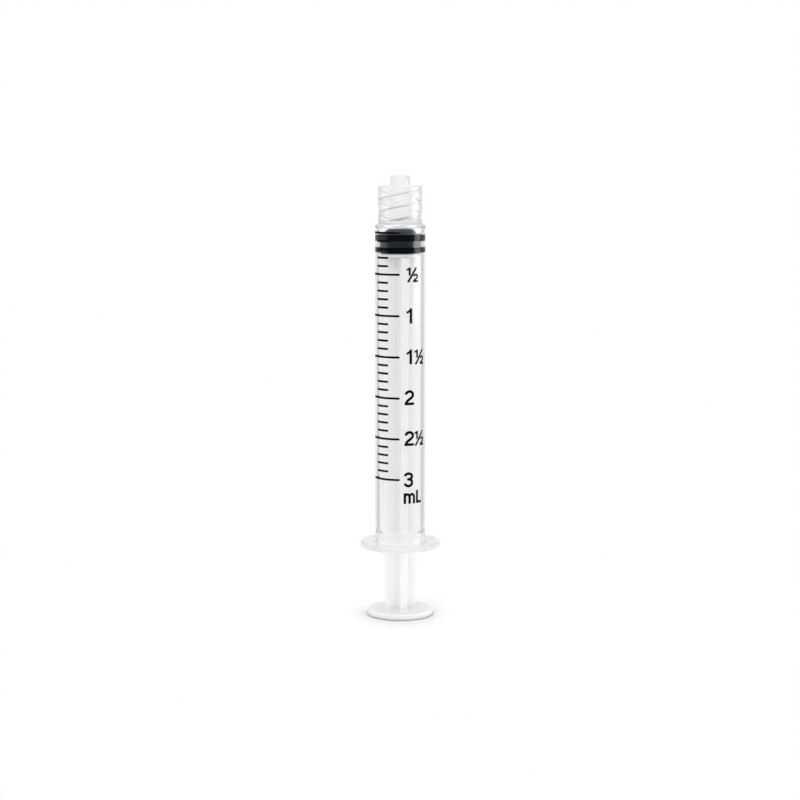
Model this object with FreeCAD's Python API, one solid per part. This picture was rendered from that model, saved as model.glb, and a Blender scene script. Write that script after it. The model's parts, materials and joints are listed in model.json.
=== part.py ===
import FreeCAD, Part
import math
import os

os.makedirs("parts", exist_ok=True)

Vector = FreeCAD.Vector
TOUCH = 1e-4

# A 3 mL luer lock syringe, in millimetres. It stands on its thumb press with its axis on +Z and its
# tip up. Every height is worked out from the sizes below, and -Y is the side that the scale faces.

# Barrel
capacity_ml = 3.0
bore_diameter = 8.75
barrel_wall = 0.75
bore_length = 65.7
end_wall = 1.1
shoulder_height = 0.55
shoulder_slope = 0.4
shoulder_rounding = 0.6
flange_diameter = 16.4
flange_thickness = 1.15
flange_edge_rounding = 0.28
flange_root_rounding = 0.5
bore_end_rounding = 0.5

# Retaining bead inside the open end of the bore
bead_height = 0.14
bead_top_above_mouth = 3.6
bead_slope_length = 0.5
bead_land_length = 1.1
bead_foot_rounding = 0.6
mouth_flare = 0.2

# Luer lock fitting: a tip with the standard 6 percent taper in a collar with a double-start thread
collar_outer_diameter = 8.96
thread_major_diameter = 8.0
thread_minor_diameter = 7.0
thread_lead = 5.0
thread_starts = 2
thread_crest_width = 0.25
thread_load_flank = 25.0
thread_lead_flank = 45.0
thread_below_rim = 0.5
thread_lead_in = 0.7
thread_run_in = 0.6
thread_bite = 0.15
thread_start_angle = 90.0
collar_depth = 6.9
tip_end_diameter = 4.0
tip_taper = 0.06
tip_projection = 2.15
tip_end_rounding = 0.45
rim_rounding = 0.33
lumen_diameter = 2.0

# Stopper
stopper_clearance = 0.02
home_gap = 0.3
nose_height = 1.25
nose_top_diameter = 4.0
nose_top_rounding = 0.5
nose_side_diameter = 6.16
nose_side_height = 0.5
nose_side_rounding = 0.8
nose_base_diameter = 6.6
upper_rib_height = 1.48
waist_height = 1.1
waist_depth = 0.21
lower_rib_height = 1.2
skirt_height = 0.15

# Plunger rod
thumb_press_diameter = 13.5
thumb_press_thickness = 1.2
thumb_press_rounding = 0.4
finger_room = 13.05
rod_disc_diameter = 8.1
rod_disc_thickness = 0.6
rib_thickness = 1.5
rib_span_top = 7.8
rib_span_bow = 6.96
rib_span_foot = 6.06
rib_bow_height = 13.2
rib_foot_height = 2.1
rib_bow_fullness = 0.58
rib_top_rounding = 0.6
rib_edge_rounding = 0.28
rib_root_rounding = 0.5
rib_foot_rounding = 0.5
rib_turn = 15.0

# Snap head of the rod, and its seat in the stopper
neck_diameter = 3.0
neck_height = 1.0
head_diameter = 4.4
head_top_diameter = 2.4
head_height = 2.1
seat_clearance = 0.04

# Grip rings cut in the underside of the thumb press
grip_ring_count = 3
grip_ring_pitch = 1.5
grip_ring_width = 0.6
grip_ring_depth = 0.2

# Printed scale
scale_step_ml = 0.1
steps_per_long_mark = 5
zero_mark_below_roof = 1.26
mark_height = 0.42
ink_thickness = 0.03
long_mark_from = -82.0
long_mark_to = -1.5
short_mark_from = -62.5
short_mark_to = -28.5

# Roundings that many edges share
fine_rounding = 0.1
edge_rounding = 0.2
soft_rounding = 0.3

# Radii and heights that follow from the sizes
bore_r = bore_diameter / 2
barrel_r = bore_r + barrel_wall
flange_bottom_z = thumb_press_thickness + finger_room
flange_top_z = flange_bottom_z + flange_thickness
roof_z = flange_bottom_z + bore_length
collar_floor_z = roof_z + end_wall
collar_rim_z = collar_floor_z + collar_depth
tip_end_z = collar_rim_z + tip_projection
tip_end_r = tip_end_diameter / 2
tip_base_r = tip_end_r + (tip_end_z - collar_floor_z) * tip_taper / 2

stopper_rib_r = bore_r - stopper_clearance
waist_r = stopper_rib_r - waist_depth
nose_top_z = roof_z - home_gap
upper_rib_top_z = nose_top_z - nose_height
upper_rib_bottom_z = upper_rib_top_z - upper_rib_height
lower_rib_top_z = upper_rib_bottom_z - waist_height
lower_rib_bottom_z = lower_rib_top_z - lower_rib_height
stopper_bottom_z = lower_rib_bottom_z - skirt_height

rod_disc_top_z = stopper_bottom_z - seat_clearance
rod_disc_bottom_z = rod_disc_top_z - rod_disc_thickness
barb_z = stopper_bottom_z + neck_height
head_top_z = barb_z + head_height

zero_mark_z = roof_z - zero_mark_below_roof
step_length = 1000 * scale_step_ml / (math.pi * bore_r ** 2)


def corner_points(before, corner, after, rounding):
    """Start, middle and end of the arc that rounds a corner, limited by the two sides beside it."""
    to_before = before.sub(corner)
    to_after = after.sub(corner)
    half_angle = to_before.getAngle(to_after) / 2
    reach = min(rounding / math.tan(half_angle), 0.49 * to_before.Length, 0.49 * to_after.Length)
    radius = reach * math.tan(half_angle)
    start = corner.add(FreeCAD.Vector(to_before).normalize().multiply(reach))
    end = corner.add(FreeCAD.Vector(to_after).normalize().multiply(reach))
    bisector = start.add(end).multiply(0.5).sub(corner).normalize()
    centre = corner.add(FreeCAD.Vector(bisector).multiply(radius / math.sin(half_angle)))
    middle = centre.sub(FreeCAD.Vector(bisector).multiply(radius))
    return start, middle, end


def outline_wire(corners):
    """A closed outline in the XZ plane from corners of (radius, height, rounding)."""
    points = [Vector(radius, 0, height) for radius, height, rounding in corners]
    edges = []
    first_start = None
    last_end = None
    for index, (radius, height, rounding) in enumerate(corners):
        start = end = points[index]
        arc = None
        if rounding > 0:
            after = points[(index + 1) % len(points)]
            start, middle, end = corner_points(points[index - 1], points[index], after, rounding)
            arc = Part.Arc(start, middle, end).toShape()
        if last_end is None:
            first_start = start
        else:
            edges.append(Part.makeLine(last_end, start))
        if arc is not None:
            edges.append(arc)
        last_end = end
    edges.append(Part.makeLine(last_end, first_start))
    return Part.Wire(edges)


def turned(corners):
    """A solid of revolution about the Z axis."""
    face = Part.Face(outline_wire(corners))
    return face.revolve(Vector(0, 0, 0), Vector(0, 0, 1), 360)


def barrel_body():
    """The barrel without its thread: fitting, tube, bead and flange in one turned outline."""
    lumen_r = lumen_diameter / 2
    collar_r = collar_outer_diameter / 2
    collar_bore_r = thread_major_diameter / 2
    flange_r = flange_diameter / 2
    bead_r = bore_r - bead_height
    bead_top_z = flange_bottom_z + bead_top_above_mouth
    bead_land_top_z = bead_top_z - bead_slope_length
    return turned([
        (lumen_r, tip_end_z, edge_rounding),
        (tip_end_r, tip_end_z, tip_end_rounding),
        (tip_base_r, collar_floor_z, soft_rounding),
        (collar_bore_r, collar_floor_z, fine_rounding),
        (collar_bore_r, collar_rim_z, fine_rounding),
        (collar_r, collar_rim_z, rim_rounding),
        (collar_r, roof_z + shoulder_height, fine_rounding),
        (barrel_r, roof_z + shoulder_height - shoulder_slope, shoulder_rounding),
        (barrel_r, flange_top_z, flange_root_rounding),
        (flange_r, flange_top_z, flange_edge_rounding),
        (flange_r, flange_bottom_z, flange_edge_rounding),
        (bore_r + mouth_flare, flange_bottom_z, edge_rounding),
        (bead_r, bead_land_top_z - bead_land_length, bead_foot_rounding),
        (bead_r, bead_land_top_z, soft_rounding),
        (bore_r, bead_top_z, soft_rounding),
        (bore_r, roof_z, bore_end_rounding),
        (lumen_r, roof_z, soft_rounding),
    ])


def lead_in_cone():
    """The space that opens upwards round the thread's upper end and thins the ridges out."""
    crest_r = thread_minor_diameter / 2
    wall_r = thread_major_diameter / 2
    margin = 2 * thread_bite
    climb = margin * thread_lead_in / (wall_r - crest_r)
    wall_cut_z = collar_rim_z - thread_below_rim
    return turned([
        (0, wall_cut_z - thread_lead_in - climb, 0),
        (crest_r - margin, wall_cut_z - thread_lead_in - climb, 0),
        (wall_r + margin, wall_cut_z + climb, 0),
        (wall_r + margin, tip_end_z, 0),
        (0, tip_end_z, 0),
    ])


def thread_ridge(start_angle):
    """One start of the collar's thread, swept up a helix from inside the end wall. Its steep flank looks
    down, against the pull of the hub, and its gentle one up."""
    wall_r = thread_major_diameter / 2
    crest_r = thread_minor_diameter / 2
    sunk_r = wall_r + thread_bite
    depth = sunk_r - crest_r
    below = thread_crest_width / 2 + depth * math.tan(math.radians(thread_load_flank))
    above = thread_crest_width / 2 + depth * math.tan(math.radians(thread_lead_flank))
    section = Part.makePolygon([
        Vector(sunk_r, 0, -below),
        Vector(crest_r, 0, -thread_crest_width / 2),
        Vector(crest_r, 0, thread_crest_width / 2),
        Vector(sunk_r, 0, above),
        Vector(sunk_r, 0, -below),
    ])
    helix = Part.makeHelix(thread_lead, thread_run_in + collar_depth, wall_r)
    ridge = Part.Wire(helix.Edges).makePipeShell([section], True, True)
    ridge.rotate(Vector(0, 0, 0), Vector(0, 0, 1), start_angle - thread_run_in / thread_lead * 360)
    ridge.translate(Vector(0, 0, collar_floor_z - thread_run_in))
    return ridge.cut(lead_in_cone())


def make_barrel():
    """The clear barrel, one moulding with both starts of its thread."""
    spacing = 360 / thread_starts
    ridges = [thread_ridge(thread_start_angle + index * spacing) for index in range(thread_starts)]
    return barrel_body().fuse(ridges)


def make_stopper():
    """The rubber stopper: nose, two sealing ribs, skirt, and the undercut seat for the rod's head."""
    hole_r = neck_diameter / 2 + seat_clearance
    seat_r = head_diameter / 2 + seat_clearance
    seat_top_r = head_top_diameter / 2 + seat_clearance
    seat_bottom_z = barb_z - seat_clearance
    seat_top_z = head_top_z + seat_clearance
    return turned([
        (0, nose_top_z, 0),
        (nose_top_diameter / 2, nose_top_z, nose_top_rounding),
        (nose_side_diameter / 2, upper_rib_top_z + nose_side_height, nose_side_rounding),
        (nose_base_diameter / 2, upper_rib_top_z, fine_rounding),
        (stopper_rib_r, upper_rib_top_z, edge_rounding),
        (stopper_rib_r, upper_rib_bottom_z, edge_rounding),
        (waist_r, upper_rib_bottom_z, fine_rounding),
        (waist_r, lower_rib_top_z, fine_rounding),
        (stopper_rib_r, lower_rib_top_z, edge_rounding),
        (stopper_rib_r, lower_rib_bottom_z, edge_rounding),
        (waist_r, lower_rib_bottom_z, 0),
        (waist_r, stopper_bottom_z, fine_rounding),
        (hole_r, stopper_bottom_z, 0),
        (hole_r, seat_bottom_z, 0),
        (seat_r, seat_bottom_z, 0),
        (seat_top_r, seat_top_z, 0),
        (0, seat_top_z, 0),
    ])


def rod_head():
    """The disc under the stopper, with the neck and the barbed snap head above it."""
    return turned([
        (0, rod_disc_bottom_z, 0),
        (rod_disc_diameter / 2, rod_disc_bottom_z, edge_rounding),
        (rod_disc_diameter / 2, rod_disc_top_z, edge_rounding),
        (neck_diameter / 2, rod_disc_top_z, 0),
        (neck_diameter / 2, barb_z, 0),
        (head_diameter / 2, barb_z, edge_rounding),
        (head_top_diameter / 2, head_top_z, soft_rounding),
        (0, head_top_z, 0),
    ])


def thumb_press():
    """The round press at the foot of the rod, with grip rings cut in its underside."""
    press_r = thumb_press_diameter / 2
    press = turned([
        (0, 0, 0),
        (press_r, 0, thumb_press_rounding),
        (press_r, thumb_press_thickness, thumb_press_rounding),
        (0, thumb_press_thickness, 0),
    ])
    for index in range(1, grip_ring_count + 1):
        ring_r = index * grip_ring_pitch
        groove = Part.makeCylinder(ring_r + grip_ring_width / 2, grip_ring_depth)
        island = Part.makeCylinder(ring_r - grip_ring_width / 2, grip_ring_depth)
        press = press.cut(groove.cut(island))
    return press


def rib_side(sign):
    """The outer edge of one rib, from inside the press up to the disc: foot, bow, taper and corner."""
    top_r = rib_span_top / 2
    bow_r = rib_span_bow / 2
    foot_r = rib_span_foot / 2
    bow_middle_r = foot_r + (bow_r - foot_r) * rib_bow_fullness
    corner_z = rod_disc_bottom_z - rib_top_rounding
    corner_turn = rib_top_rounding * (1 - math.cos(math.pi / 4))
    base = Vector(sign * foot_r, 0, thumb_press_thickness / 2)
    foot = Vector(sign * foot_r, 0, rib_foot_height)
    bow_middle = Vector(sign * bow_middle_r, 0, (rib_bow_height + rib_foot_height) / 2)
    bow = Vector(sign * bow_r, 0, rib_bow_height)
    corner = Vector(sign * top_r, 0, corner_z)
    corner_middle = Vector(sign * (top_r - corner_turn), 0, rod_disc_bottom_z - corner_turn)
    top = Vector(sign * (top_r - rib_top_rounding), 0, rod_disc_bottom_z)
    return [
        Part.makeLine(base, foot),
        Part.Arc(foot, bow_middle, bow).toShape(),
        Part.makeLine(bow, corner),
        Part.Arc(corner, corner_middle, top).toShape(),
    ]


def rib_plate():
    """Two opposite ribs as one plate in the XZ plane, with their long outer edges rounded."""
    right = rib_side(1)
    left = rib_side(-1)
    lid = Part.makeLine(right[-1].Vertexes[-1].Point, left[-1].Vertexes[-1].Point)
    base = Part.makeLine(right[0].Vertexes[0].Point, left[0].Vertexes[0].Point)
    outline = Part.Wire(Part.__sortEdges__(right + left + [lid, base]))
    plate = Part.Face(outline).extrude(Vector(0, rib_thickness, 0))
    plate.translate(Vector(0, -rib_thickness / 2, 0))
    return plate.makeFillet(rib_edge_rounding, [edge for edge in plate.Edges if runs_up_a_face(edge)])


def runs_up_a_face(edge):
    """Whether an edge of the rib plate lies in one of its broad faces and isn't level."""
    ends = [vertex.Point for vertex in edge.Vertexes]
    return abs(ends[0].y - ends[-1].y) < TOUCH and abs(ends[0].z - ends[-1].z) > TOUCH


def is_core_corner(edge):
    """Whether an edge is one of the four inner corners where the two rib plates cross."""
    half = rib_thickness / 2
    return len(edge.Vertexes) == 2 and all(
        abs(abs(vertex.X) - half) < TOUCH and abs(abs(vertex.Y) - half) < TOUCH for vertex in edge.Vertexes)


def is_rib_foot(edge):
    """Whether an edge is on the line where the ribs stand on the thumb press."""
    return len(edge.Vertexes) == 2 and all(
        abs(vertex.Z - thumb_press_thickness) < TOUCH
        and math.hypot(vertex.X, vertex.Y) < rib_span_foot / 2 + TOUCH for vertex in edge.Vertexes)


def make_plunger_rod():
    """The rod, one moulding: thumb press, cross of four ribs with filleted roots, disc and head."""
    plate = rib_plate()
    cross_plate = plate.copy()
    cross_plate.rotate(Vector(0, 0, 0), Vector(0, 0, 1), 90)
    cross = plate.fuse(cross_plate).removeSplitter()
    cross = cross.makeFillet(rib_root_rounding, [edge for edge in cross.Edges if is_core_corner(edge)])
    rod = cross.fuse([thumb_press(), rod_head()]).removeSplitter()
    rod = rod.makeFillet(rib_foot_rounding, [edge for edge in rod.Edges if is_rib_foot(edge)])
    rod.rotate(Vector(0, 0, 0), Vector(0, 0, 1), rib_turn)
    return rod


def scale_mark(height, angle_from, angle_to):
    """One printed bar that follows the barrel's wall. Angles are measured from -Y, towards +X."""
    corners = [
        Vector(barrel_r, 0, height - mark_height / 2),
        Vector(barrel_r + ink_thickness, 0, height - mark_height / 2),
        Vector(barrel_r + ink_thickness, 0, height + mark_height / 2),
        Vector(barrel_r, 0, height + mark_height / 2),
    ]
    section = Part.Face(Part.makePolygon(corners + corners[:1]))
    mark = section.revolve(Vector(0, 0, 0), Vector(0, 0, 1), angle_to - angle_from)
    mark.rotate(Vector(0, 0, 0), Vector(0, 0, 1), angle_from - 90)
    return mark


def make_scale_marks():
    """All bars of the scale, long at every half millilitre and short between."""
    marks = []
    for step in range(round(capacity_ml / scale_step_ml) + 1):
        height = zero_mark_z - step * step_length
        if step % steps_per_long_mark == 0:
            marks.append(scale_mark(height, long_mark_from, long_mark_to))
        else:
            marks.append(scale_mark(height, short_mark_from, short_mark_to))
    return Part.makeCompound(marks)


make_barrel().exportStep("parts/barrel.step")
make_stopper().exportStep("parts/stopper.step")
make_plunger_rod().exportStep("parts/plunger_rod.step")
make_scale_marks().exportStep("parts/scale_marks.step")
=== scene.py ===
import json
import math

import bmesh
import bpy
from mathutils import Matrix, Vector
from mathutils.geometry import delaunay_2d_cdt


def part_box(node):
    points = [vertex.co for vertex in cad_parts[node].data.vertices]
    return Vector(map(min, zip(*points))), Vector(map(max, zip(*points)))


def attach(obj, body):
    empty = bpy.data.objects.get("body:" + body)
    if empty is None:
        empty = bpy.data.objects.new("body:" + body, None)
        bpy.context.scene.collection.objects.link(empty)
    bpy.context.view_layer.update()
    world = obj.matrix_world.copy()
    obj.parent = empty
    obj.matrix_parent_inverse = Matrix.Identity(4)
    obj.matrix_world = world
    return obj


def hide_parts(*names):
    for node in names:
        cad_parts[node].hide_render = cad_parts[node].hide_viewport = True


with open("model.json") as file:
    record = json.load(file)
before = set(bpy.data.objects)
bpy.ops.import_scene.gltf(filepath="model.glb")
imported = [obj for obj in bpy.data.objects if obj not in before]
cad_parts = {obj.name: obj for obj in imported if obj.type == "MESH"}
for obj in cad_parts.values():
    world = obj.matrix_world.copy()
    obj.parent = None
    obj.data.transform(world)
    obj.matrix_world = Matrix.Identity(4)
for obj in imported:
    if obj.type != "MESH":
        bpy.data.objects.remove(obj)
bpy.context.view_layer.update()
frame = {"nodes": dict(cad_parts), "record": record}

# All sizes here are in millimetres, as on the real syringe; meshes are made in metres.
MM = 0.001
SEGMENTS = 160
ARC_STEP = math.radians(9)
SUPPORT = 0.03
TOUCH = 1e-4

barrel_low, barrel_high = (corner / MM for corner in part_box("barrel"))
stopper_low, stopper_high = (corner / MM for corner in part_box("stopper"))
rod_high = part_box("plunger_rod")[1] / MM
mounts = {mount["name"]: mount for mount in frame["record"]["mounts"]}

# Roundings that many edges share
sharp_rounding = 0.02
fine_rounding = 0.1
edge_rounding = 0.2
soft_rounding = 0.3

# Barrel
barrel_r = mounts["barrel_wall"]["dims"]["r_mm"]
barrel_wall = 0.75
bore_r = barrel_r - barrel_wall
flange_r = barrel_high.x
flange_bottom_z = barrel_low.z
flange_top_z = mounts["flange_front"]["pos_m"][2] / MM
flange_edge_rounding = 0.28
flange_root_rounding = 0.5
bore_length = 65.7
bore_end_rounding = 0.5
roof_z = flange_bottom_z + bore_length
end_wall = 1.1
shoulder_height = 0.55
shoulder_slope = 0.4
shoulder_rounding = 0.6
bead_height = 0.14
bead_top_z = flange_bottom_z + 3.6
bead_slope_length = 0.5
bead_land_length = 1.1
bead_foot_rounding = 0.6
mouth_flare = 0.2
# The ink lies a hair's breadth in the wall, so that no film of air shows between them
wall_over_ink = 0.005

# Luer lock fitting
collar_r = 4.48
thread_major_r = 4.0
thread_minor_r = 3.5
thread_lead = 5.0
thread_starts = 2
thread_crest_width = 0.25
thread_load_flank = math.radians(25)
thread_lead_flank = math.radians(45)
thread_below_rim = 0.5
thread_lead_in = 0.7
thread_start_angle = math.radians(90)
thread_row = thread_lead / SEGMENTS
tip_end_z = barrel_high.z
tip_end_r = 2.0
tip_taper = 0.06
tip_projection = 2.15
tip_end_rounding = 0.45
rim_rounding = 0.33
lumen_r = 1.0
collar_floor_z = roof_z + end_wall
collar_rim_z = tip_end_z - tip_projection
tip_base_r = tip_end_r + (tip_end_z - collar_floor_z) * tip_taper / 2

# Stopper. The squeezed ribs wet the bore, so they reach a little into its wall
rib_squeeze = 0.012
stopper_rib_r = bore_r + rib_squeeze
waist_r = 4.145
nose_top_z = stopper_high.z
stopper_bottom_z = stopper_low.z
nose_height = 1.25
upper_rib_height = 1.48
waist_height = 1.1
lower_rib_height = 1.2
upper_rib_top_z = nose_top_z - nose_height
upper_rib_bottom_z = upper_rib_top_z - upper_rib_height
lower_rib_top_z = upper_rib_bottom_z - waist_height
lower_rib_bottom_z = lower_rib_top_z - lower_rib_height
nose_top_r = 2.0
nose_top_rounding = 0.5
nose_side_r = 3.08
nose_side_height = 0.5
nose_side_rounding = 0.8
nose_base_r = 3.3
seat_clearance = 0.04
wet_from_r = bore_r - 0.005

# Plunger rod
press_r = rod_high.x
press_thickness = 1.2
press_top_rounding = 0.4
press_base_rounding = 0.4
grip_ring_radii = (1.5, 3.0, 4.5)
grip_ring_width = 0.6
grip_ring_depth = 0.2
grip_ring_slope = 0.08
grip_ring_rounding = 0.06
rod_disc_r = 4.05
rod_disc_thickness = 0.6
rod_disc_top_z = stopper_bottom_z - seat_clearance
rod_disc_bottom_z = rod_disc_top_z - rod_disc_thickness
rib_thickness = 1.5
rib_top_r = 3.9
rib_bow_r = 3.48
rib_foot_r = 3.03
rib_bow_z = 13.2
rib_foot_z = 2.1
rib_bow_fullness = 0.58
rib_top_rounding = 0.6
rib_edge_rounding = 0.28
rib_root_rounding = 0.5
rib_foot_rounding = 0.5
rib_turn = math.radians(15)
ribs_ring_r = rib_foot_r + 1.6
disc_ring_r = rod_disc_r - 0.3
neck_r = 1.5
neck_height = 1.0
barb_z = stopper_bottom_z + neck_height
head_r = 2.2
head_top_r = 1.2
head_top_z = rod_high.z

# Print
capacity_ml = 3
zero_mark_z = roof_z - 1.26
scale_length = capacity_ml * 1000 / (math.pi * bore_r ** 2)
ink_proud = 0.03
ink_sunk = 0.01
print_strip = 0.15
print_pen = 0.54
unit_pen = print_pen * 0.96
numeral_rise = 0.15

# Milkiness of the clear plastic, from 0 to 1
tube_milk = 0.0
end_milk = 0.013
end_wall_milk = 0.34
collar_milk = 0.18
tip_milk = 0.4
flange_milk = 0.2
rim_milk = 0.42

# Share of the light that the rod's milky plastic lets past
light_let_past = 0.2

# Tones of the materials and of the tent, as red, green and blue
haze_through = (0.968, 0.968, 0.968)
haze_back = (0.96, 0.96, 0.96)
clear_depth = (0.90, 0.93, 0.96)
rubber_dark = (0.004, 0.0075, 0.0115)
rubber_light = (0.007, 0.0125, 0.018)
rod_dark = (0.905, 0.905, 0.897)
rod_light = (0.93, 0.93, 0.923)
rod_through = (0.95, 0.95, 0.945)
ink_dark = (0.001, 0.001, 0.001)
ink_light = (0.003, 0.003, 0.0035)
ink_lets_past = (0.8, 0.8, 0.8)
tent_white = (1, 1, 1)
tent_off_white = (0.93, 0.97, 1.0)

# Stage. The floor and the lamps are in metres, the tent's levels are strengths
floor_r = 0.075
lamp_aim = Vector((0, 0, 0.045))
tent_light = 0.87
tent_behind = 1.0
tent_sides = 0.62
tent_opening = 0.05
floor_lift = 0.02
floor_white = 0.86
# Painted contact shadow: the floor's colour where the syringe hems it in fully, and how far this painted
# shading reaches
floor_painted_shadow = 0.36
painted_shadow_reach = 0.015

# Soft edges of the tent's fields, from nothing to full, each as a share of the direction's length
above_horizon = (0.17, 0.06)
tent_back_edge = (0.81, 0.965)
opening_mirrored = (-0.3, -0.6)
opening_seen_through = (-0.93, -0.975)

# Lamps: name, place, size and power
lamps = [
    ("side_box", (0.6, -0.04, 0.16), (0.38, 0.3), 0.76),
    ("front_box", (-0.2, -0.45, 0.55), (0.5, 0.4), 1.35),
    ("back_box", (0.0, 0.32, 0.6), (0.4, 0.3), 0.8),
]

# Camera, fitted to the photograph, whose horizon lies above its middle. The lens is given in pixels too
camera_distance = 385.2
camera_height = 92.5
camera_lens = 85.5
camera_lens_px = 1900
horizon_above_middle_px = 236.7
camera_pitch = math.atan(horizon_above_middle_px / camera_lens_px)
camera_offset = -0.04


def arc_corner(before, corner, after, rounding):
    """Points of the arc that rounds a corner of an outline, limited by the two sides beside it."""
    to_before = before - corner
    to_after = after - corner
    half_angle = to_before.angle(to_after) / 2
    reach = min(rounding / math.tan(half_angle), 0.49 * to_before.length, 0.49 * to_after.length)
    radius = reach * math.tan(half_angle)
    start = corner + to_before.normalized() * reach
    end = corner + to_after.normalized() * reach
    inwards = (to_before.normalized() + to_after.normalized()).normalized()
    centre = corner + inwards * radius / math.sin(half_angle)
    sweep = (start - centre).angle(end - centre)
    steps = max(2, math.ceil(sweep / ARC_STEP))
    points = []
    for step in range(steps + 1):
        share = step / steps
        weight_start = math.sin((1 - share) * sweep) / math.sin(sweep)
        weight_end = math.sin(share * sweep) / math.sin(sweep)
        points.append(centre + (start - centre) * weight_start + (end - centre) * weight_end)
    return points


def rounded_outline(corners, closed):
    """Points of an outline whose corners are (radius, height, rounding), with a support point by each end
    of a longer side, so that flat stretches shade flat."""
    points = [Vector((radius, height)) for radius, height, rounding in corners]
    runs = []
    for index, (radius, height, rounding) in enumerate(corners):
        inner = closed or 0 < index < len(corners) - 1
        if rounding > 0 and inner:
            after = points[(index + 1) % len(points)]
            runs.append(arc_corner(points[index - 1], points[index], after, rounding))
        else:
            runs.append([points[index]])
    outline = []
    for index, run in enumerate(runs):
        outline.extend(run)
        if index == len(runs) - 1 and not closed:
            break
        start = run[-1]
        end = runs[(index + 1) % len(runs)][0]
        side = end - start
        if side.length > 8 * SUPPORT:
            outline.append(start + side.normalized() * SUPPORT)
            outline.append(end - side.normalized() * SUPPORT)
    return outline


def finished_object(name, bm, sharp_angle=40):
    """An object from a bmesh in millimetres, smooth but for its sharp edges."""
    bmesh.ops.scale(bm, vec=(MM, MM, MM), verts=bm.verts)
    bmesh.ops.recalc_face_normals(bm, faces=bm.faces)
    mesh = bpy.data.meshes.new(name)
    bm.to_mesh(mesh)
    bm.free()
    for polygon in mesh.polygons:
        polygon.use_smooth = True
    mesh.set_sharp_from_angle(angle=math.radians(sharp_angle))
    made = bpy.data.objects.new(name, mesh)
    bpy.context.collection.objects.link(made)
    return made


def skin(rings, closed):
    """A bmesh skin over rings of points. A ring of one point is a pole."""
    bm = bmesh.new()
    made = [[bm.verts.new(point) for point in points] for points in rings]
    count = max(len(points) for points in rings)
    pairs = list(zip(made, made[1:]))
    if closed:
        pairs.append((made[-1], made[0]))
    for lower, upper in pairs:
        for index in range(count):
            after = (index + 1) % count
            if len(lower) == 1:
                bm.faces.new((lower[0], upper[index], upper[after]))
            elif len(upper) == 1:
                bm.faces.new((lower[index], lower[after], upper[0]))
            else:
                bm.faces.new((lower[index], lower[after], upper[after], upper[index]))
    return bm


def ring(radius, height, angles):
    """A level ring of points, or one point where the radius is nothing."""
    if radius < 1e-6:
        return [(0, 0, height)]
    return [(radius * math.cos(angle), radius * math.sin(angle), height) for angle in angles]


def even_angles(count):
    return [2 * math.pi * index / count for index in range(count)]


def turned(name, corners, closed):
    """A turned piece from the corners of its outline."""
    outline = rounded_outline(corners, closed)
    angles = even_angles(SEGMENTS)
    return finished_object(name, skin([ring(point.x, point.y, angles) for point in outline], closed))


def smooth_step(value):
    value = min(1.0, max(0.0, value))
    return value * value * (3 - 2 * value)


def thread_height(angle, height):
    """How far the thread stands in from the collar's wall at an angle and a height above its floor. Its
    steep flank looks down, against the hub's pull, and its gentle one up."""
    depth = thread_major_r - thread_minor_r
    climb = thread_lead / (2 * math.pi)
    load_width = depth * math.tan(thread_load_flank)
    lead_width = depth * math.tan(thread_lead_flank)
    best = 0.0
    for start in range(thread_starts):
        first = (angle - thread_start_angle - start * 2 * math.pi / thread_starts) % (2 * math.pi)
        for turn in (first - 2 * math.pi, first, first + 2 * math.pi):
            above = height - turn * climb
            below_edge = smooth_step((above + thread_crest_width / 2 + load_width) / load_width)
            above_edge = smooth_step((thread_crest_width / 2 + lead_width - above) / lead_width)
            best = max(best, below_edge * above_edge)
    below_cone_top = collar_rim_z - collar_floor_z - thread_below_rim - height
    lead_in = min(1.0, max(0.0, below_cone_top / thread_lead_in))
    return min(best, lead_in) * depth


def barrel_outline():
    """The barrel's section, from the tip's mouth down the outside, round the flange and up the bore."""
    bead_r = bore_r - bead_height
    bead_land_top_z = bead_top_z - bead_slope_length
    outer_r = barrel_r + wall_over_ink
    corners = [
        (lumen_r, tip_end_z, edge_rounding),
        (tip_end_r, tip_end_z, tip_end_rounding),
        (tip_base_r, collar_floor_z, soft_rounding),
        (thread_major_r, collar_floor_z, fine_rounding),
        (thread_major_r, collar_rim_z, fine_rounding),
        (collar_r, collar_rim_z, rim_rounding),
        (collar_r, roof_z + shoulder_height, fine_rounding),
        (outer_r, roof_z + shoulder_height - shoulder_slope, shoulder_rounding),
        (outer_r, flange_top_z, flange_root_rounding),
        (flange_r, flange_top_z, flange_edge_rounding),
        (flange_r, flange_bottom_z, flange_edge_rounding),
        (bore_r + mouth_flare, flange_bottom_z, edge_rounding),
        (bead_r, bead_land_top_z - bead_land_length, bead_foot_rounding),
        (bead_r, bead_land_top_z, soft_rounding),
        (bore_r, bead_top_z, soft_rounding),
        (bore_r, roof_z, bore_end_rounding),
        (lumen_r, roof_z, soft_rounding),
    ]
    return with_thread_rows(rounded_outline(corners, True))


def on_thread_wall(point):
    return abs(point.x - thread_major_r) < TOUCH and point.y > collar_floor_z


def with_thread_rows(outline):
    """The outline with close rows up the collar's inner wall for the thread. They lie as far apart as the
    thread climbs from one segment to the next, so that the ridges run along the mesh."""
    rows = []
    for index, point in enumerate(outline):
        rows.append(point)
        after = outline[(index + 1) % len(outline)]
        if on_thread_wall(point) and on_thread_wall(after):
            steps = round((after - point).length / thread_row)
            for step in range(1, steps):
                rows.append(Vector((thread_major_r, point.y + step * thread_row)))
    return rows


def in_collar(point):
    """Whether a point of the outline lies on the collar's inner wall, with the rounding at its foot."""
    by_wall = thread_major_r - edge_rounding < point.x < thread_major_r + TOUCH
    return by_wall and collar_floor_z - TOUCH < point.y < collar_rim_z


def threaded_ring(point, angles):
    """A ring of the collar's inner wall, with the thread standing in from it."""
    points = []
    for angle in angles:
        reach = point.x - thread_height(angle, point.y - collar_floor_z)
        points.append((reach * math.cos(angle), reach * math.sin(angle), point.y))
    return points


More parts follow.
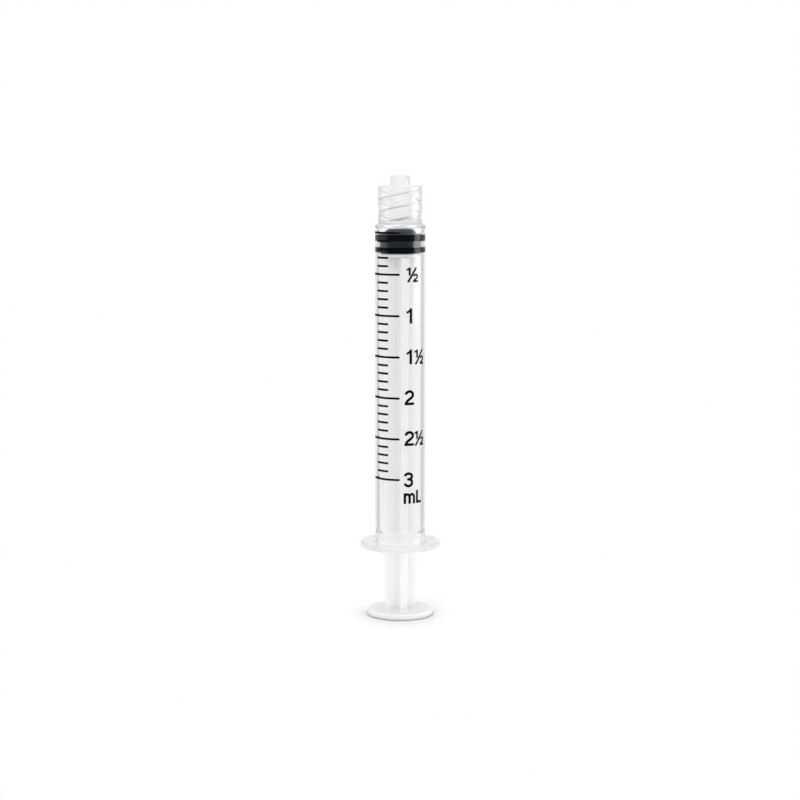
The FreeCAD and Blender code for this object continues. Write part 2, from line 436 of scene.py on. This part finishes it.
def make_barrel():
    """Clear moulding: luer tip, threaded collar, tube and finger flange."""
    angles = even_angles(SEGMENTS)
    rings = []
    for point in barrel_outline():
        if in_collar(point):
            rings.append(threaded_ring(point, angles))
        else:
            rings.append(ring(point.x, point.y, angles))
    return finished_object("clear_barrel", skin(rings, True), sharp_angle=60)


def make_stopper():
    """Black rubber: nose, two sealing ribs and skirt. Its hollow underside holds the rod's head."""
    corners = [
        (0, nose_top_z, 0),
        (nose_top_r, nose_top_z, nose_top_rounding),
        (nose_side_r, upper_rib_top_z + nose_side_height, nose_side_rounding),
        (nose_base_r, upper_rib_top_z, fine_rounding),
        (stopper_rib_r, upper_rib_top_z, edge_rounding),
        (stopper_rib_r, upper_rib_bottom_z, edge_rounding),
        (waist_r, upper_rib_bottom_z, fine_rounding),
        (waist_r, lower_rib_top_z, fine_rounding),
        (stopper_rib_r, lower_rib_top_z, edge_rounding),
        (stopper_rib_r, lower_rib_bottom_z, edge_rounding),
        (waist_r, lower_rib_bottom_z, sharp_rounding),
        (waist_r, stopper_bottom_z, fine_rounding),
        (neck_r + seat_clearance, stopper_bottom_z, 0),
        (neck_r + seat_clearance, barb_z - seat_clearance, 0),
        (head_r + seat_clearance, barb_z - seat_clearance, 0),
        (head_top_r + seat_clearance, head_top_z + seat_clearance, 0),
        (0, head_top_z + seat_clearance, 0),
    ]
    return turned("rubber_stopper", corners, False)


def rib_reach(height):
    """How far a rib reaches from the axis at a height."""
    top_round_z = rod_disc_bottom_z - rib_top_rounding
    if height > top_round_z:
        drop = height - top_round_z
        return rib_top_r - rib_top_rounding + math.sqrt(max(0.0, rib_top_rounding ** 2 - drop ** 2))
    if height > rib_bow_z:
        share = (height - rib_bow_z) / (top_round_z - rib_bow_z)
        return rib_bow_r + (rib_top_r - rib_bow_r) * share
    share = max(0.0, (height - rib_foot_z) / (rib_bow_z - rib_foot_z))
    bulge = (rib_bow_fullness - 0.5) * 4 * share * (1 - share)
    return rib_foot_r + (rib_bow_r - rib_foot_r) * (share + bulge)


def foot_flare(height):
    """How far the fillet at the ribs' foot spreads at a height."""
    above = height - press_thickness
    if above >= rib_foot_rounding:
        return 0.0
    return rib_foot_rounding - math.sqrt(rib_foot_rounding ** 2 - (rib_foot_rounding - above) ** 2)


def rib_section(height):
    """The cross of four ribs at a height, counter-clockwise, with as many points at every height."""
    flare = foot_flare(height)
    half = rib_thickness / 2 + flare
    reach = rib_reach(height) + flare
    edge = rib_edge_rounding + flare * 0.5
    root = max(sharp_rounding, rib_root_rounding - flare)
    side_steps = 12
    edge_steps = 6
    face_steps = 6
    root_steps = 8
    quarter = []
    for step in range(side_steps):
        share = step / side_steps
        quarter.append((half + root + (reach - edge - half - root) * share, -half))
    quarter.extend(quarter_arc(reach - edge, -half + edge, edge, -math.pi / 2, edge_steps))
    for step in range(1, face_steps):
        quarter.append((reach, (half - edge) * (2 * step / face_steps - 1)))
    quarter.extend(quarter_arc(reach - edge, half - edge, edge, 0, edge_steps))
    for step in range(1, side_steps + 1):
        share = 1 - step / side_steps
        quarter.append((half + root + (reach - edge - half - root) * share, half))
    for step in range(1, root_steps):
        turn = math.pi * 1.5 - step / root_steps * math.pi / 2
        quarter.append((half + root + root * math.cos(turn), half + root + root * math.sin(turn)))
    points = []
    for side in range(4):
        turn = rib_turn + side * math.pi / 2
        for x, y in quarter:
            turned_x = x * math.cos(turn) - y * math.sin(turn)
            turned_y = x * math.sin(turn) + y * math.cos(turn)
            points.append((turned_x, turned_y, height))
    return points


def quarter_arc(centre_x, centre_y, radius, start, steps):
    """Points of a quarter circle, counter-clockwise from an angle."""
    return [
        (centre_x + radius * math.cos(start + step / steps * math.pi / 2),
         centre_y + radius * math.sin(start + step / steps * math.pi / 2))
        for step in range(steps + 1)
    ]


def rib_heights():
    """Heights at which the ribs' section is drawn, close together where it changes fast."""
    foot = [
        press_thickness + rib_foot_rounding * (1 - math.cos(math.pi / 2 * step / 8))
        for step in range(9)
    ]
    bow = [rib_foot_z + (rib_bow_z - rib_foot_z) * step / 16 for step in range(17)]
    top_round_z = rod_disc_bottom_z - rib_top_rounding
    straight = [rib_bow_z + (top_round_z - rib_bow_z) * step / 24 for step in range(1, 25)]
    corner = [top_round_z + rib_top_rounding * math.sin(math.pi / 2 * step / 8) for step in range(1, 9)]
    return foot + bow + straight + corner


def press_outline():
    """The thumb press's section from the middle of its underside, out and up to the ribs' foot."""
    corners = [(0, 0, 0)]
    for radius in grip_ring_radii:
        inner = radius - grip_ring_width / 2
        outer = radius + grip_ring_width / 2
        corners.extend([
            (inner, 0, grip_ring_rounding),
            (inner + grip_ring_slope, grip_ring_depth, grip_ring_rounding),
            (outer - grip_ring_slope, grip_ring_depth, grip_ring_rounding),
            (outer, 0, grip_ring_rounding),
        ])
    corners.extend([
        (press_r, 0, press_base_rounding),
        (press_r, press_thickness, press_top_rounding),
        (ribs_ring_r, press_thickness, 0),
    ])
    return rounded_outline(corners, False)


def head_outline():
    """The disc, neck and barbed head, from just outside the ribs' top up to the point of the head."""
    return rounded_outline([
        (disc_ring_r, rod_disc_bottom_z, 0),
        (rod_disc_r, rod_disc_bottom_z, edge_rounding),
        (rod_disc_r, rod_disc_top_z, edge_rounding),
        (neck_r, rod_disc_top_z, fine_rounding / 2),
        (neck_r, barb_z, fine_rounding / 2),
        (head_r, barb_z, edge_rounding),
        (head_top_r, head_top_z, soft_rounding),
        (0, head_top_z, 0),
    ], False)


def make_rod():
    """White moulding in one skin: thumb press, ribs with filleted feet, disc and snap head."""
    middle = rib_section((rib_bow_z + rod_disc_bottom_z) / 2)
    angles = [math.atan2(point[1], point[0]) for point in middle]
    rings = [ring(point.x, point.y, angles) for point in press_outline()]
    rings.extend(rib_section(height) for height in rib_heights())
    rings.extend(ring(point.x, point.y, angles) for point in head_outline())
    return finished_object("white_plunger_rod", skin(rings, False))


def arc_path(centre_x, centre_y, reach_x, reach_y, start, end, steps=14):
    """Points along part of an ellipse, between two angles in degrees."""
    points = []
    for step in range(steps + 1):
        angle = math.radians(start + (end - start) * step / steps)
        points.append(Vector((centre_x + reach_x * math.cos(angle), centre_y + reach_y * math.sin(angle))))
    return points


def curve_path(first, second, third, fourth, steps=12):
    """Points along a cubic curve."""
    points = []
    for step in range(steps + 1):
        t = step / steps
        s = 1 - t
        points.append(first * s ** 3 + second * 3 * s * s * t + third * 3 * s * t * t + fourth * t ** 3)
    return points


def straight_path(start_x, start_y, end_x, end_y):
    return [Vector((start_x, start_y)), Vector((end_x, end_y))]


def pen_stroke(path, pen):
    """Outline of a stroke of even width along a path."""
    left = []
    right = []
    for index, point in enumerate(path):
        before = path[max(0, index - 1)]
        after = path[min(len(path) - 1, index + 1)]
        along = (after - before).normalized()
        side = Vector((-along.y, along.x)) * pen / 2
        left.append(point + side)
        right.append(point - side)
    return left + right[::-1]


# The characters are drawn in shares of their width, their height and the pen
def one_strokes(width, height, pen):
    """A one: stem and curved flag."""
    stem_x = width - pen / 2
    flag_pen = pen * 0.8
    flag = curve_path(
        Vector((0, height * 0.72)),
        Vector((width * 0.4, height * 0.76)),
        Vector((width * 0.62, height * 0.86)),
        Vector((stem_x, height - flag_pen * 0.35)),
    )
    return [pen_stroke(straight_path(stem_x, 0, stem_x, height), pen), pen_stroke(flag, flag_pen)]


def two_strokes(width, height, pen):
    """A two: bowl, sweep down to the left and base."""
    reach_x = (width - pen) / 2
    reach_y = height * 0.225
    centre_y = height - pen / 2 - reach_y
    bowl = arc_path(width / 2, centre_y, reach_x, reach_y, 175, -28)
    sweep = curve_path(
        bowl[-1],
        bowl[-1] + Vector((-width * 0.16, -height * 0.16)),
        Vector((pen * 0.75, height * 0.34)),
        Vector((pen * 0.5, pen * 0.5)),
    )
    base = straight_path(0, pen * 0.48, width, pen * 0.48)
    return [pen_stroke(bowl + sweep[1:], pen), pen_stroke(base, pen * 0.96)]


def three_strokes(width, height, pen):
    """A three: two bowls that meet in a short bar."""
    reach_x = (width - pen) / 2
    upper_reach = (height - pen) * 0.232
    lower_reach = (height - pen) / 2 - upper_reach
    middle_y = height - pen / 2 - 2 * upper_reach
    upper = arc_path(width / 2, middle_y + upper_reach, reach_x * 0.95, upper_reach, 172, -90, 20)
    lower = arc_path(width / 2, middle_y - lower_reach, reach_x, lower_reach, 90, -170, 20)
    bar = straight_path(width * 0.36, middle_y, width * 0.55, middle_y)
    return [pen_stroke(upper, pen), pen_stroke(lower, pen), pen_stroke(bar, pen * 0.9)]


def m_strokes(width, height, pen):
    """A small m: stem and two arches."""
    strokes = [pen_stroke(straight_path(pen / 2, 0, pen / 2, height), pen)]
    span = (width - pen) / 2
    for arch in range(2):
        left = pen / 2 + span * arch
        reach_y = height * 0.27
        spring_y = height - pen / 2 - reach_y
        path = arc_path(left + span / 2, spring_y, span / 2, reach_y, 172, 0)
        path.append(Vector((left + span, 0)))
        strokes.append(pen_stroke(path, pen))
    return strokes


def l_strokes(width, height, pen):
    """A capital L: stem and foot."""
    return [
        pen_stroke(straight_path(pen / 2, 0, pen / 2, height), pen),
        pen_stroke(straight_path(0, pen / 2, width, pen / 2), pen),
    ]


def half_strokes(width, height, pen):
    """A half: small one, slash and small two."""
    small_one = one_strokes(width * 0.33, height * 0.55, pen * 0.82)
    small_two = two_strokes(width * 0.46, height * 0.58, pen * 0.72)
    one_at = Vector((0, height * 0.45))
    two_at = Vector((width * 0.54, 0))
    strokes = [[point + one_at for point in stroke] for stroke in small_one]
    strokes.extend([point + two_at for point in stroke] for stroke in small_two)
    strokes.append(pen_stroke(straight_path(width * 0.1, 0, width * 0.82, height), pen * 0.76))
    return strokes


def flat_faces(strokes):
    """One flat mesh of the area that the strokes cover together."""
    points = []
    faces = []
    for stroke in strokes:
        faces.append(list(range(len(points), len(points) + len(stroke))))
        points.extend(stroke)
    joined = delaunay_2d_cdt(points, [], faces, 1, 1e-5)
    bm = bmesh.new()
    verts = [bm.verts.new((point.x, point.y, 0)) for point in joined[0]]
    for face in joined[2]:
        bm.faces.new([verts[index] for index in face])
    return bm


def printed(name, strokes, left_angle, middle_z, height):
    """Characters printed on the barrel, their left side at an angle from the front."""
    bm = flat_faces(strokes)
    outer_r = barrel_r + ink_proud
    cut_at = print_strip
    while cut_at < max(vert.co.x for vert in bm.verts):
        geometry = bm.verts[:] + bm.edges[:] + bm.faces[:]
        bmesh.ops.bisect_plane(bm, geom=geometry, dist=1e-5, plane_co=(cut_at, 0, 0), plane_no=(1, 0, 0))
        cut_at += print_strip
    raised = bmesh.ops.extrude_face_region(bm, geom=bm.faces[:])
    outer = {item for item in raised["geom"] if isinstance(item, bmesh.types.BMVert)}
    for vert in bm.verts:
        turn = math.radians(left_angle) + vert.co.x / outer_r - math.pi / 2
        radius = outer_r if vert in outer else barrel_r - ink_sunk
        vert.co = (radius * math.cos(turn), radius * math.sin(turn), middle_z + vert.co.y - height / 2)
    return finished_object(name, bm, sharp_angle=30)


def new_material(name):
    """A material with its nodes, its links and its Principled shader at hand."""
    material = bpy.data.materials.new(name)
    material.use_nodes = True
    nodes = material.node_tree.nodes
    return material, nodes, material.node_tree.links, nodes["Principled BSDF"]


def show(nodes, links, surface):
    """Makes a surface the one that its material shows."""
    links.new(surface, nodes["Material Output"].inputs["Surface"])


def noise(nodes, links, scale, detail, stretch=(1, 1, 1)):
    """Noise over the object's own coordinates, in features per metre."""
    place = nodes.new("ShaderNodeTexCoord")
    mapping = nodes.new("ShaderNodeMapping")
    mapping.inputs["Scale"].default_value = stretch
    texture = nodes.new("ShaderNodeTexNoise")
    texture.inputs["Scale"].default_value = scale
    texture.inputs["Detail"].default_value = detail
    links.new(place.outputs["Object"], mapping.inputs["Vector"])
    links.new(mapping.outputs["Vector"], texture.inputs["Vector"])
    return texture.outputs["Fac"]


def ranged(nodes, links, value, low, high):
    """A value from 0 to 1 taken to a range."""
    spread = nodes.new("ShaderNodeMapRange")
    spread.inputs["To Min"].default_value = low
    spread.inputs["To Max"].default_value = high
    links.new(value, spread.inputs["Value"])
    return spread.outputs["Result"]


def between(nodes, links, value, nothing_at, full_at):
    """A soft step from 0 to 1 as a value goes from one mark to another."""
    step = nodes.new("ShaderNodeMapRange")
    step.interpolation_type = "SMOOTHSTEP"
    step.inputs["From Min"].default_value = nothing_at
    step.inputs["From Max"].default_value = full_at
    links.new(value, step.inputs["Value"])
    return step.outputs["Result"]


def combined(nodes, links, operation, first, second):
    """Two values put through one step of arithmetic."""
    step = nodes.new("ShaderNodeMath")
    step.operation = operation
    links.new(first, step.inputs[0])
    links.new(second, step.inputs[1])
    return step.outputs["Value"]


def larger(nodes, links, first, second):
    return combined(nodes, links, "MAXIMUM", first, second)


def smaller(nodes, links, first, second):
    return combined(nodes, links, "MINIMUM", first, second)


def toned(nodes, links, value, first, second):
    """A colour that goes from one tone to another with a value from 0 to 1."""
    tone = nodes.new("ShaderNodeMix")
    tone.data_type = "RGBA"
    tone.inputs["A"].default_value = (*first, 1)
    tone.inputs["B"].default_value = (*second, 1)
    links.new(value, tone.inputs["Factor"])
    return tone.outputs["Result"]


def layered(nodes, links, share, first, second):
    """A surface of two, where the share of the second is a number or comes from a node."""
    mix = nodes.new("ShaderNodeMixShader")
    if isinstance(share, float):
        mix.inputs["Fac"].default_value = share
    else:
        links.new(share, mix.inputs["Fac"])
    links.new(first, mix.inputs[1])
    links.new(second, mix.inputs[2])
    return mix.outputs["Shader"]


def scattering(nodes, kind, colour):
    """A plain surface of one kind and one colour."""
    surface = nodes.new(kind)
    surface.inputs["Color"].default_value = (*colour, 1)
    return surface.outputs["BSDF"]


def bumped(nodes, links, shader, value, distance, strength):
    """Bump from a value, with its depth in metres."""
    bump = nodes.new("ShaderNodeBump")
    bump.inputs["Distance"].default_value = distance
    bump.inputs["Strength"].default_value = strength
    links.new(value, bump.inputs["Height"])
    links.new(bump.outputs["Normal"], shader.inputs["Normal"])


def clear_plastic():
    """Clear polypropylene. It is milky where it is thick, and lets the light through to what is inside."""
    material, nodes, links, shader = new_material("clear_plastic")
    shader.inputs["Base Color"].default_value = (1, 1, 1, 1)
    shader.inputs["IOR"].default_value = 1.49
    shader.inputs["Transmission Weight"].default_value = 1.0
    flow = noise(nodes, links, 900, 2, (1, 1, 0.12))
    links.new(ranged(nodes, links, flow, 0.07, 0.12), shader.inputs["Roughness"])
    bumped(nodes, links, shader, flow, 0.00002, 0.04)
    absorption = nodes.new("ShaderNodeVolumeAbsorption")
    absorption.inputs["Color"].default_value = (*clear_depth, 1)
    absorption.inputs["Density"].default_value = 60
    links.new(absorption.outputs["Volume"], nodes["Material Output"].inputs["Volume"])

    through = scattering(nodes, "ShaderNodeBsdfTranslucent", haze_through)
    back = scattering(nodes, "ShaderNodeBsdfDiffuse", haze_back)
    haze = layered(nodes, links, 0.5, through, back)
    milky = layered(nodes, links, milkiness(nodes, links), shader.outputs["BSDF"], haze)
    pass_on = nodes.new("ShaderNodeBsdfTransparent")
    links.new(ranged(nodes, links, in_flange(nodes, links), 1.0, 0.96), pass_on.inputs["Color"])
    show(nodes, links, layered(nodes, links, lighting_rays(nodes, links), milky, pass_on.outputs["BSDF"]))
    return material


def lighting_rays(nodes, links):
    """1 for the rays that carry light to what lies behind, 0 for those that see the surface."""
    rays = nodes.new("ShaderNodeLightPath")
    return larger(nodes, links, rays.outputs["Is Shadow Ray"], rays.outputs["Is Diffuse Ray"])


def height_of(nodes, links):
    """The height of a point, in metres."""
    place = nodes.new("ShaderNodeTexCoord")
    split = nodes.new("ShaderNodeSeparateXYZ")
    links.new(place.outputs["Object"], split.inputs["Vector"])
    return split.outputs["Z"]


def radius_of(nodes, links):
    """The distance of a point from the axis, in metres."""
    place = nodes.new("ShaderNodeTexCoord")
    level = nodes.new("ShaderNodeVectorMath")
    level.operation = "MULTIPLY"
    level.inputs[1].default_value = (1, 1, 0)
    reach = nodes.new("ShaderNodeVectorMath")
    reach.operation = "LENGTH"
    links.new(place.outputs["Object"], level.inputs[0])
    links.new(level.outputs["Vector"], reach.inputs[0])
    return reach.outputs["Value"]


def in_flange(nodes, links):
    """1 in the flange and the thick mouth above it, 0 in the tube."""
    height = height_of(nodes, links)
    return between(nodes, links, height, (bead_top_z + 0.3) * MM, (bead_top_z - 0.7) * MM)


def milkiness(nodes, links):
    """How milky the moulding is: most in the thick end wall, the ground tip and the flange's rim, less in
    the flange and the collar, a little round the tube's end and not at all in the tube."""
    height = height_of(nodes, links)
    radius = radius_of(nodes, links)
    above_roof = between(nodes, links, height, (roof_z - 0.17) * MM, (roof_z + 0.2) * MM)
    below_floor = between(nodes, links, height, (collar_floor_z + 0.1) * MM, (collar_floor_z - 0.2) * MM)
    above_floor = between(nodes, links, height, (collar_floor_z - 0.2) * MM, (collar_floor_z + 0.1) * MM)
    near_axis = between(nodes, links, radius, (tip_base_r + 0.4) * MM, (tip_base_r + 0.1) * MM)
    tube_end = between(nodes, links, height, (upper_rib_top_z - 0.1) * MM, (upper_rib_top_z + 0.3) * MM)
    at_rim = between(nodes, links, radius, (flange_r - 0.6) * MM, (flange_r - 0.15) * MM)
    parts = [
        ranged(nodes, links, in_flange(nodes, links), tube_milk, flange_milk),
        ranged(nodes, links, at_rim, 0, rim_milk),
        ranged(nodes, links, tube_end, 0, end_milk),
        ranged(nodes, links, smaller(nodes, links, above_roof, below_floor), 0, end_wall_milk),
        ranged(nodes, links, above_floor, 0, collar_milk),
        ranged(nodes, links, smaller(nodes, links, above_floor, near_axis), 0, tip_milk),
    ]
    most = parts[0]
    for part in parts[1:]:
        most = larger(nodes, links, most, part)
    return most


def black_rubber(name, shade, specular):
    """Moulded black rubber with a fine satin surface. Where it wets the wall nothing reflects."""
    material, nodes, links, shader = new_material(name)
    grain = noise(nodes, links, 9000, 3)
    dark = [level * shade for level in rubber_dark]
    light = [level * shade for level in rubber_light]
    links.new(toned(nodes, links, grain, dark, light), shader.inputs["Base Color"])
    links.new(ranged(nodes, links, grain, 0.36, 0.5), shader.inputs["Roughness"])
    shader.inputs["Specular IOR Level"].default_value = specular
    bumped(nodes, links, shader, grain, 0.00001, 0.08)
    return material


def white_plastic():
    """Natural polypropylene: milky. Light goes a little way in, and some of it comes out behind."""
    material, nodes, links, shader = new_material("white_plastic")
    cloud = noise(nodes, links, 260, 2, (1, 1, 0.25))
    links.new(toned(nodes, links, cloud, rod_dark, rod_light), shader.inputs["Base Color"])
    shader.inputs["Subsurface Weight"].default_value = 0.7
    shader.inputs["Subsurface Radius"].default_value = (1.0, 0.97, 0.9)
    shader.inputs["Subsurface Scale"].default_value = 0.0012
    grain = noise(nodes, links, 5000, 2)
    links.new(ranged(nodes, links, grain, 0.16, 0.26), shader.inputs["Roughness"])
    bumped(nodes, links, shader, grain, 0.00001, 0.1)
    through = scattering(nodes, "ShaderNodeBsdfTranslucent", rod_through)
    milky = layered(nodes, links, 0.13, shader.outputs["BSDF"], through)
    past = scattering(nodes, "ShaderNodeBsdfTransparent", (1, 1, 1))
    rays = nodes.new("ShaderNodeLightPath")
    let_past = ranged(nodes, links, rays.outputs["Is Shadow Ray"], 0, light_let_past)
    show(nodes, links, layered(nodes, links, let_past, milky, past))
    return material


def black_ink():
    """Black printing ink with slight unevenness. It throws hardly a shadow on the rod behind it."""
    material, nodes, links, shader = new_material("black_ink")
    patch = noise(nodes, links, 3000, 3)
    links.new(toned(nodes, links, patch, ink_dark, ink_light), shader.inputs["Base Color"])
    links.new(ranged(nodes, links, patch, 0.45, 0.6), shader.inputs["Roughness"])
    shader.inputs["Specular IOR Level"].default_value = 0.05
    past = scattering(nodes, "ShaderNodeBsdfTransparent", ink_lets_past)
    show(nodes, links, layered(nodes, links, lighting_rays(nodes, links), shader.outputs["BSDF"], past))
    return material


def dress(piece, material, slot, body, *nodes):
    """Gives a piece its material and its body, and hides the nodes that it stands for. The slot is not used.
    """
    piece.data.materials.clear()
    piece.data.materials.append(material)
    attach(piece, body)
    if nodes:
        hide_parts(*nodes)


def make_floor():
    """A white floor round the syringe, greyer close to where it stands: a contact shadow is painted into its
    colour, on top of the shadow that its lamps cast. The camera sees it a little lighter, so that only the
    shadow shows."""
    bm = bmesh.new()
    bmesh.ops.create_circle(bm, cap_ends=True, segments=96, radius=floor_r)
    mesh = bpy.data.meshes.new("floor")
    bm.to_mesh(mesh)
    bm.free()
    floor = bpy.data.objects.new("floor", mesh)
    bpy.context.collection.objects.link(floor)
    material, nodes, links, shader = new_material("floor")
    shader.inputs["Roughness"].default_value = 0.9
    shader.inputs["Specular IOR Level"].default_value = 0.0
    # Painted contact shadow: ambient occlusion greys the floor's colour, and its glow for the camera, close
    # to the syringe
    openness = nodes.new("ShaderNodeAmbientOcclusion")
    openness.inputs["Distance"].default_value = painted_shadow_reach
    white = ranged(nodes, links, openness.outputs["AO"], floor_painted_shadow, floor_white)
    links.new(white, shader.inputs["Base Color"])
    links.new(white, shader.inputs["Emission Color"])
    rays = nodes.new("ShaderNodeLightPath")
    lift = ranged(nodes, links, rays.outputs["Is Camera Ray"], 0, floor_lift)
    links.new(lift, shader.inputs["Emission Strength"])
    mesh.materials.append(material)


def make_world():
    """A light tent: white behind, greyer at the sides, with a dark opening in front, where the camera
    stands. The clear walls mirror the whole opening, but only its middle shows through them. The camera
    sees the tent plain white, and its light is even."""
    world = bpy.data.worlds.new("world")
    world.use_nodes = True
    bpy.context.scene.world = world
    nodes = world.node_tree.nodes
    links = world.node_tree.links
    background = nodes["Background"]
    place = nodes.new("ShaderNodeTexCoord")
    split = nodes.new("ShaderNodeSeparateXYZ")
    links.new(place.outputs["Generated"], split.inputs["Vector"])
    level = between(nodes, links, split.outputs["Z"], *above_horizon)
    behind = smaller(nodes, links, between(nodes, links, split.outputs["Y"], *tent_back_edge), level)
    opening = between(nodes, links, split.outputs["Y"], *opening_mirrored)
    seen_through = between(nodes, links, split.outputs["Y"], *opening_seen_through)
    sides = ranged(nodes, links, behind, tent_sides, tent_behind)
    rays = nodes.new("ShaderNodeLightPath")
    mirrored = smaller(nodes, links, opening, rays.outputs["Is Glossy Ray"])
    opened = nodes.new("ShaderNodeMix")
    links.new(larger(nodes, links, seen_through, mirrored), opened.inputs["Factor"])
    links.new(sides, opened.inputs["A"])
    opened.inputs["B"].default_value = tent_opening
    clear = larger(nodes, links, rays.outputs["Is Glossy Ray"], rays.outputs["Is Transmission Ray"])
    lit = nodes.new("ShaderNodeMix")
    links.new(clear, lit.inputs["Factor"])
    lit.inputs["A"].default_value = tent_light
    links.new(opened.outputs["Result"], lit.inputs["B"])
    off_white = smaller(nodes, links, clear, ranged(nodes, links, behind, 1, 0))
    links.new(toned(nodes, links, off_white, tent_white, tent_off_white), background.inputs["Color"])
    strength = nodes.new("ShaderNodeMix")
    links.new(rays.outputs["Is Camera Ray"], strength.inputs["Factor"])
    links.new(lit.outputs["Result"], strength.inputs["A"])
    strength.inputs["B"].default_value = 1.0
    links.new(strength.outputs["Result"], background.inputs["Strength"])


def area_light(name, place, size, power):
    """A soft lamp aimed at the syringe's middle."""
    data = bpy.data.lights.new(name, "AREA")
    data.shape = "RECTANGLE"
    data.size, data.size_y = size
    data.energy = power
    lamp = bpy.data.objects.new(name, data)
    lamp.location = place
    lamp.rotation_euler = (lamp_aim - Vector(place)).to_track_quat("-Z", "Y").to_euler()
    bpy.context.collection.objects.link(lamp)


def make_camera():
    data = bpy.data.cameras.new("camera")
    data.lens = camera_lens
    data.sensor_width = 36
    data.clip_start = 0.01
    data.clip_end = 50
    camera = bpy.data.objects.new("camera", data)
    camera.location = (camera_offset * MM, -camera_distance * MM, camera_height * MM)
    camera.rotation_euler = (math.pi / 2 - camera_pitch, 0, 0)
    bpy.context.collection.objects.link(camera)
    bpy.context.scene.camera = camera


def make_print(ink):
    """The scale's numerals and unit, to the right of its bars."""
    def beside(millilitres):
        return zero_mark_z - scale_length * millilitres / capacity_ml + numeral_rise

    def across(left_angle, right_angle):
        return math.radians(right_angle - left_angle) * (barrel_r + ink_proud)

    prints = [
        ("numeral_half", half_strokes, 14.4, 44.1, 2.95, beside(0.5) - 0.2),
        ("numeral_1", one_strokes, 14.4, 27.8, 3.05, beside(1) - 0.12),
        ("numeral_1_of_1_half", one_strokes, 14.3, 27.5, 3.0, beside(1.5) - 0.07),
        ("numeral_half_of_1_half", half_strokes, 33.9, 64.4, 3.0, beside(1.5) - 0.15),
        ("numeral_2", two_strokes, 10.0, 33.1, 3.05, beside(2)),
        ("numeral_2_of_2_half", two_strokes, 9.7, 32.8, 3.05, beside(2.5)),
        ("numeral_half_of_2_half", half_strokes, 33.7, 65.4, 3.0, beside(2.5) - 0.08),
        ("numeral_3", three_strokes, 7.5, 31.1, 3.1, beside(3) - 0.15),
        ("unit_m", m_strokes, 7.8, 36.0, 2.2, beside(3) - 3.98),
        ("unit_l", l_strokes, 38.9, 55.0, 2.7, beside(3) - 3.72),
    ]
    for name, strokes, left, right, height, middle_z in prints:
        pen = unit_pen if name.startswith("unit") else print_pen
        drawn = strokes(across(left, right), height, pen)
        dress(printed(name, drawn, left, middle_z, height), ink, "black_ink", "barrel")


def dress_stopper(stopper):
    """Rubber that is wet where its ribs press on the bore, and a little lighter on the nose, as painted
    light for the light that falls on the dome from above.
    """
    dress(stopper, black_rubber("black_rubber", 1, 0.3), "black_rubber", "stopper", "stopper")
    stopper.data.materials.append(black_rubber("black_rubber_wet", 0.2, 0))
    # Painted light: a lighter copy of the rubber for the nose, which faces the light from above
    stopper.data.materials.append(black_rubber("black_rubber_nose_painted_light", 1.8, 0.3))
    for polygon in stopper.data.polygons:
        if math.hypot(polygon.center.x, polygon.center.y) > wet_from_r * MM:
            polygon.material_index = 1
        # The faces above the upper rib get the nose's painted light
        elif polygon.center.z > upper_rib_top_z * MM:
            polygon.material_index = 2


def dress_marks(ink):
    """Gives the scale's bars the same ink as its numerals."""
    for material_slot in frame["nodes"]["scale_marks"].material_slots:
        material_slot.material = ink


def main():
    scene = bpy.context.scene
    scene.view_settings.view_transform = "Standard"
    ink = black_ink()
    dress(make_barrel(), clear_plastic(), "clear_plastic", "barrel", "barrel")
    dress_stopper(make_stopper())
    dress(make_rod(), white_plastic(), "white_plastic", "plunger_rod", "plunger_rod")
    dress_marks(ink)
    make_print(ink)
    make_floor()
    make_world()
    for name, place, size, power in lamps:
        area_light(name, place, size, power)
    make_camera()
    scene.cycles.max_bounces = 20
    scene.cycles.diffuse_bounces = 8
    scene.cycles.glossy_bounces = 16
    scene.cycles.transmission_bounces = 16
    scene.cycles.transparent_max_bounces = 16


main()
